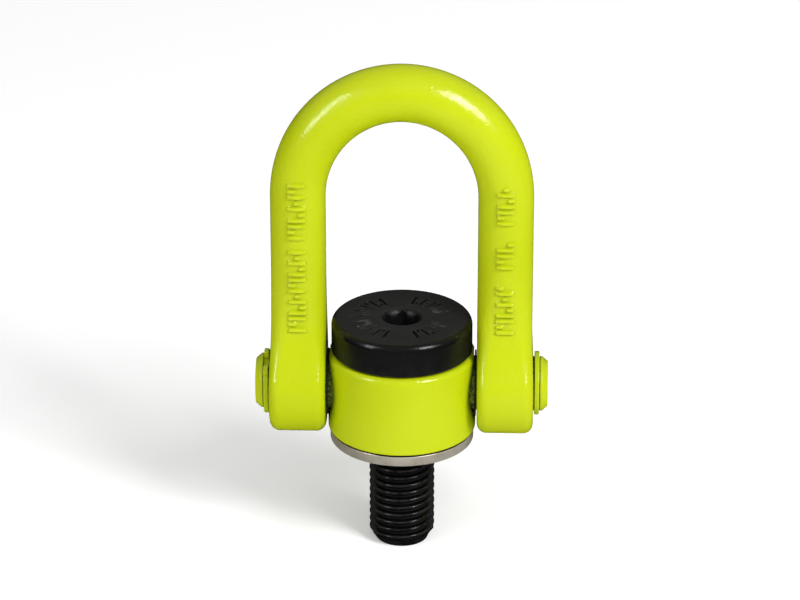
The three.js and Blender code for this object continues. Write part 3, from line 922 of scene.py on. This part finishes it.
def shade_round_circlip(material, place):
    """Painted shade and rough, speckled spray on pin and circlip: behind the circlip, and the corner in
    front of it."""
    distance = sideways(material, place)
    back, front = CIRCLIP_LOW[0], CIRCLIP_HIGH[0]
    behind = ramp_mm(material, distance, back + 0.05, back + 0.2, 1, 0)
    before = math_node(material, "MULTIPLY",
                       ramp_mm(material, distance, front + 0.05, front + 0.1, 0, 1),
                       ramp_mm(material, distance, front + 0.3, front + 0.5, 1, 0))
    return math_node(material, "MAXIMUM", behind, before)


def shade_beside_eye(material, place):
    """The part of the body close to a pin's axis, in the shade of the eye."""
    from_pin = add(material, "ShaderNodeVectorMath", {0: place, 1: (0, 0, -PIN_HEIGHT * MM)})
    out = flat_length(material, from_pin.outputs[0], (0, 1, 1))
    near_pin = ramp_mm(material, out, *SHADE_AND_OVERSPRAY_RADIUS, 1, 0)
    outside = ramp_mm(material, sideways(material, place), *SHADE_AND_OVERSPRAY_SIDE, 0, 1)
    return math_node(material, "MULTIPLY", near_pin, outside)


def paint_material(name, shade_and_spray_place=None):
    """Glossy lime paint over rough forged steel, with painted shade in inner corners. Where
    shade_and_spray_place says so, it darkens with painted shade and turns rough and speckled where the
    spray lands unevenly."""
    material, shader, place = new_material(name, Specular_IOR_Level=0.42)
    broad = noise(material, place, 22, 3)
    fine = noise(material, place, 900, 2)
    colour = blend_colour(material, ramp(material, broad, 0.35, 0.65, 0, 1),
                          LIME_DEEP, LIME_PALE)
    bend = bend_value(material)
    colour = blend_colour(material, ramp(material, bend, 0.25, 1.2, 0, 0.35), colour, LIME_EDGE)
    # painted shade in inner corners
    colour = blend_colour(material, ramp(material, bend, -0.6, -0.08, 0.45, 0), colour, LIME_CORNER_SHADE)
    roughness = math_node(material, "ADD", ramp(material, broad, 0.3, 0.7, 0.15, 0.21),
                          ramp(material, fine, 0.3, 0.7, -0.02, 0.02))
    if shade_and_spray_place:
        # painted shade where the mask says, with rough speckled spray
        shade_and_spray = shade_and_spray_place(material, place)
        speck = ramp(material, noise(material, place, 1100, 3, 0.7), 0.45, 0.6, 0.0, 1.0)
        shaded_overspray = blend_colour(material, speck, OVERSPRAY_SHADE_DARK, OVERSPRAY_SHADE_PALE)
        colour = blend_colour(material, shade_and_spray, colour, shaded_overspray)
        dull = math_node(material, "MULTIPLY", shade_and_spray, 0.6)
        roughness = math_node(material, "MAXIMUM", roughness, dull)
    link(material, colour, shader, "Base Color")
    link(material, roughness, shader, "Roughness")
    forged = bump(material, noise(material, place, 160, 4), 0.0002)
    link(material, bump(material, noise(material, place, 800, 2), 0.0001, forged), shader, "Normal")
    return material


def from_axis(material, place):
    """Distance from the bolt's axis and height."""
    height = add(material, "ShaderNodeSeparateXYZ", {"Vector": place}).outputs["Z"]
    return flat_length(material, place, (1, 1, 0)), height


def black_material():
    """Black oxide: glossy on the thread, dull on the head's top and satin on its rim, with fine grain
    and worn thread crests. Painted light makes the head's top lighter than its side, and painted shade
    darkens the engraved marks and thread roots."""
    material, shader, place = new_material("black_oxide", Specular_IOR_Level=0.22)
    out, height = from_axis(material, place)
    on_head = ramp_mm(material, height, 0, HEAD_BOTTOM, 0, 1)
    above_side = ramp_mm(material, height, HEAD_TOP - RIM_HEIGHT, HEAD_TOP - RIM_HEIGHT + 1, 0, 1)
    below_top = ramp_mm(material, height, HEAD_TOP - 0.4, HEAD_TOP - 0.1, 1, 0)
    far_out = ramp_mm(material, out, HEAD_RADIUS - RIM_WIDTH, HEAD_RADIUS - RIM_WIDTH + 1, 0, 1)
    on_rim = math_node(material, "MULTIPLY", above_side, below_top)
    on_rim = math_node(material, "MULTIPLY", on_rim, far_out)
    bend = bend_value(material)
    # inner corners, for painted shade and dull roughness
    crevice = ramp(material, bend, -0.4, -0.08, 1, 0)

    colour = blend_colour(material, on_head, THREAD_BLACK, HEAD_SIDE_BLACK)
    # painted light: the head's top is lighter than its side
    on_top = math_node(material, "SUBTRACT", 1.0, below_top)
    colour = blend_colour(material, on_top, colour, HEAD_TOP_LIT_BLACK)
    blotch = ramp(material, noise(material, place, 60, 3), 0.35, 0.65, 0, 0.3)
    colour = blend_colour(material, blotch, colour, BLOTCH_BLACK)
    # painted shade in engraved strokes and thread roots
    colour = blend_colour(material, crevice, colour, CREVICE_SHADE_BLACK)
    patches = ramp(material, noise(material, place, 350, 3), 0.35, 0.6, 0.1, 0.45)
    worn = math_node(material, "MULTIPLY", ramp(material, bend, 0.15, 0.9, 0, 1), patches)
    colour = blend_colour(material, worn, colour, WORN_GREY)
    link(material, colour, shader, "Base Color")

    grain = noise(material, place, 2200, 3, 0.6)
    roughness = math_node(material, "ADD", ramp(material, on_head, 0, 1, 0.08, 0.4),
                          ramp(material, grain, 0.3, 0.7, -0.05, 0.06))
    roughness = math_node(material, "ADD", roughness, ramp(material, on_top, 0, 1, 0, 0.2))
    roughness = math_node(material, "SUBTRACT", roughness, ramp(material, on_rim, 0, 1, 0, 0.2))
    roughness = math_node(material, "MAXIMUM", roughness, ramp(material, crevice, 0, 1, 0, 0.7))
    link(material, roughness, shader, "Roughness")

    satin = bump(material, grain, 0.000012)
    rough = noise(material, place, 700, 3, 0.6)
    link(material, bump(material, rough, 0.00007, satin), shader, "Normal")
    return material


def plated_material():
    """Bare plated steel, turned, with faint rings and stains, painted highlights on its edges, and
    painted shade on the flange under the body.
    """
    material, shader, place = new_material("plated_steel", Metallic=0.75)
    out, height = from_axis(material, place)
    across = add(material, "ShaderNodeCombineXYZ", {"X": out, "Y": height}).outputs["Vector"]
    rings = noise(material, across, 3500, 3, 0.6)
    stain = noise(material, place, 130, 4, 0.6)
    colour = blend_colour(material, ramp(material, stain, 0.3, 0.7, 0, 1),
                          PLATING_DULL, PLATING_BRIGHT)
    bend = bend_value(material)
    # painted highlight on outer edges
    colour = blend_colour(material, ramp(material, bend, 0.5, 2.0, 0, 0.6), colour, PLATING_EDGE_HIGHLIGHT)
    # painted shade on the flange's top under the body
    flange_top = BODY_LOW[2] - FLANGE_GAP
    under_body = ramp_mm(material, height, flange_top - 0.3, flange_top - 0.2, 0, 1)
    colour = blend_colour(material, under_body, colour, FLANGE_TOP_SHADE)
    link(material, colour, shader, "Base Color")
    roughness = math_node(material, "ADD", ramp(material, stain, 0.3, 0.7, 0.28, 0.4),
                          ramp(material, rings, 0.3, 0.7, -0.05, 0.05))
    link(material, roughness, shader, "Roughness")
    turned = bump(material, rings, 0.00001)
    link(material, bump(material, noise(material, place, 1200, 2), 0.000006, turned), shader, "Normal")
    return material


def dark_steel_material():
    """Hardened spring steel with a dark oil-quenched skin."""
    material, shader, place = new_material("dark_steel", Specular_IOR_Level=0.12)
    cloud = noise(material, place, 240, 4, 0.6)
    colour = blend_colour(material, ramp(material, cloud, 0.3, 0.7, 0, 1),
                          STEEL_DARK, STEEL_PALE)
    bend = bend_value(material)
    colour = blend_colour(material, ramp(material, bend, 0.5, 2.5, 0, 0.5), colour, STEEL_EDGE)
    link(material, colour, shader, "Base Color")
    link(material, ramp(material, cloud, 0.3, 0.7, 0.55, 0.75), shader, "Roughness")
    grain = noise(material, place, 2600, 3, 0.6)
    link(material, bump(material, grain, 0.000012), shader, "Normal")
    return material


def floor_material():
    """A matt white floor that can't be seen from below."""
    material, shader, _ = new_material("studio_floor", Roughness=0.9, Specular_IOR_Level=0.0)
    shader.inputs["Base Color"].default_value = FLOOR_WHITE
    shader.inputs["Emission Color"].default_value = WHITE
    shader.inputs["Emission Strength"].default_value = FLOOR_GLOW
    below = add(material, "ShaderNodeNewGeometry", {}).outputs["Backfacing"]
    clear = add(material, "ShaderNodeBsdfTransparent", {})
    seen = add(material, "ShaderNodeMixShader", {0: below, 1: shader.outputs[0], 2: clear.outputs[0]})
    out = material.node_tree.nodes["Material Output"]
    material.node_tree.links.new(seen.outputs[0], out.inputs["Surface"])
    return material


# ---- studio ----

AIM = Vector((-0.0007, 0, 0.0538))  # what camera and lights point at, in metres
CAMERA_DISTANCE = 1.4
CAMERA_AZIMUTH = 1.7
CAMERA_ELEVATION = 24.8
CAMERA_LENS = 175.7
STRIP_DISTANCE = 1.6
BROAD_LIGHT_DISTANCE = 2.0
BROAD_LIGHT_ANGLE = math.radians(60)
FLOOR_SIZE = 12.0
FLOOR_GLOW = 0.23
DOME_END = 1.4  # radians above and below the horizon, where the dome closes to a point
DOME_ROWS = 15
DOME_COLUMNS = 32


def towards(azimuth, elevation):
    """The unit vector from the object to a viewpoint at that azimuth and elevation, in degrees."""
    azimuth, elevation = math.radians(azimuth), math.radians(elevation)
    flat = math.cos(elevation)
    return Vector((math.sin(azimuth) * flat, -math.cos(azimuth) * flat, math.sin(elevation)))


def point_at(thing, direction, distance):
    """Places a light or camera that far from the object, facing it."""
    thing.location = AIM + direction * distance
    thing.rotation_euler = direction.to_track_quat("Z", "Y").to_euler()


def make_camera():
    """The camera, aimed at the object's middle."""
    data = bpy.data.cameras.new("camera")
    data.lens = CAMERA_LENS
    camera = new_object("camera", data)
    point_at(camera, towards(CAMERA_AZIMUTH, CAMERA_ELEVATION), CAMERA_DISTANCE)
    bpy.context.scene.camera = camera


def softbox(name, direction, size, power):
    """A rectangular area light, size in metres and power in watts."""
    data = bpy.data.lights.new(name, "AREA")
    data.shape = "RECTANGLE"
    data.size, data.size_y = size
    data.energy = power
    light = new_object(name, data)
    point_at(light, direction, STRIP_DISTANCE)
    return light


def broad_light(name, direction, energy):
    """A very soft light with no falloff, which isn't mirrored in the object."""
    data = bpy.data.lights.new(name, "SUN")
    data.energy = energy
    data.angle = BROAD_LIGHT_ANGLE
    light = new_object(name, data)
    light.visible_glossy = False
    point_at(light, direction, BROAD_LIGHT_DISTANCE)


def make_world():
    """Light from all round, brightest from the front and from above."""
    world = bpy.data.worlds.new("studio")
    world.use_nodes = True
    direction = add(world, "ShaderNodeTexCoord", {}).outputs["Generated"]
    place = add(world, "ShaderNodeSeparateXYZ", {"Vector": direction})
    front = ramp(world, place.outputs["Y"], -0.9, -0.3, 0.14, 0.02)
    above = ramp(world, place.outputs["Z"], 0.0, 0.5, 0.0, 0.3)
    strength = math_node(world, "MAXIMUM", front, above)
    background = world.node_tree.nodes["Background"]
    world.node_tree.links.new(strength, background.inputs["Strength"])
    background.inputs["Color"].default_value = WHITE
    bpy.context.scene.world = world


def stage_object(name, points, faces, material):
    """Part of the studio, which isn't mirrored in the object."""
    mesh = new_mesh(name, points, faces)
    mesh.materials.append(material)
    made = new_object(name, mesh)
    made.visible_glossy = False
    return made


def make_floor():
    """A floor that the object stands on; it lights the object but isn't mirrored in it."""
    half, height = FLOOR_SIZE / 2, BOLT_LOW[2] * MM
    corners = [(-half, -half, height), (half, -half, height), (half, half, height), (-half, half, height)]
    stage_object("floor", corners, [(0, 1, 2, 3)], floor_material())


def make_backdrop():
    """A pale dome all round, there only for the camera."""
    material = bpy.data.materials.new("backdrop")
    material.use_nodes = True
    glow = add(material, "ShaderNodeEmission", {"Color": WHITE, "Strength": 1.0})
    out = material.node_tree.nodes["Material Output"]
    material.node_tree.links.new(glow.outputs[0], out.inputs["Surface"])
    heights = np.linspace(-DOME_END, DOME_END, DOME_ROWS)
    sides = [[FLOOR_SIZE * math.cos(height), FLOOR_SIZE * math.sin(height)] for height in heights]
    points, faces = revolve([[0, -FLOOR_SIZE], *sides, [0, FLOOR_SIZE]], DOME_COLUMNS)
    dome = stage_object("backdrop", points, faces, material)
    dome.visible_diffuse = False
    dome.visible_shadow = False


def make_studio():
    """World, floor, backdrop, camera and lights. The left strip only makes highlights, and left_fill
    lights that side."""
    bpy.context.scene.view_settings.view_transform = "Standard"
    make_world()
    make_floor()
    make_backdrop()
    make_camera()
    softbox("right_strip", towards(46, 36), size=(0.5, 0.7), power=22)
    left = softbox("left_strip", towards(-54, 28), size=(0.36, 0.9), power=10)
    left.visible_diffuse = False
    broad_light("overhead", towards(0, 65), energy=0.55)
    broad_light("left_fill", towards(-50, 15), energy=1.25)


# ---- assembly ----

paint = paint_material("lime_paint")
pin_paint = paint_material("lime_paint_pins", shade_round_circlip)
body_paint = paint_material("lime_paint_body", shade_beside_eye)
black = black_material()
plated = plated_material()
dark = dark_steel_material()

bail = surface(bail_field, BAIL_LOW, BAIL_HIGH, BAIL_STEP)
body = surface(body_field, BODY_LOW, BODY_HIGH, BODY_STEP)
captive_ring = surface(captive_ring_field, RING_LOW, RING_HIGH, CAPTIVE_RING_STEP)

piece("bail_shape", *bail, "bail_ring", paint, "lime_paint", "bail")
piece("swivel_body_shape", *body, "swivel_set", body_paint, "lime_paint", "swivel_body")
piece("bolt_shape", *bolt_mesh(), "bolt_set", black, "black_oxide", "bolt")
piece("captive_ring_shape", *captive_ring, "bolt_set", dark, "dark_steel", "captive_ring")
piece("flanged_bushing_shape", *bushing_mesh(), "bushing_base", plated, "plated_steel", "flanged_bushing")
for side in ("left", "right"):
    pin, circlip, washer = pin_mesh(side), circlip_mesh(side), washer_mesh(side)
    pin_set = f"{side}_pin_set"
    piece(f"{side}_pin_shape", *pin, pin_set, pin_paint, "lime_paint", f"{side}_pin")
    piece(f"{side}_circlip_shape", *circlip, pin_set, pin_paint, "lime_paint", f"{side}_circlip")
    piece(f"{side}_washer_shape", *washer, "swivel_set", dark, "dark_steel", f"{side}_spacer_washer")

make_studio()
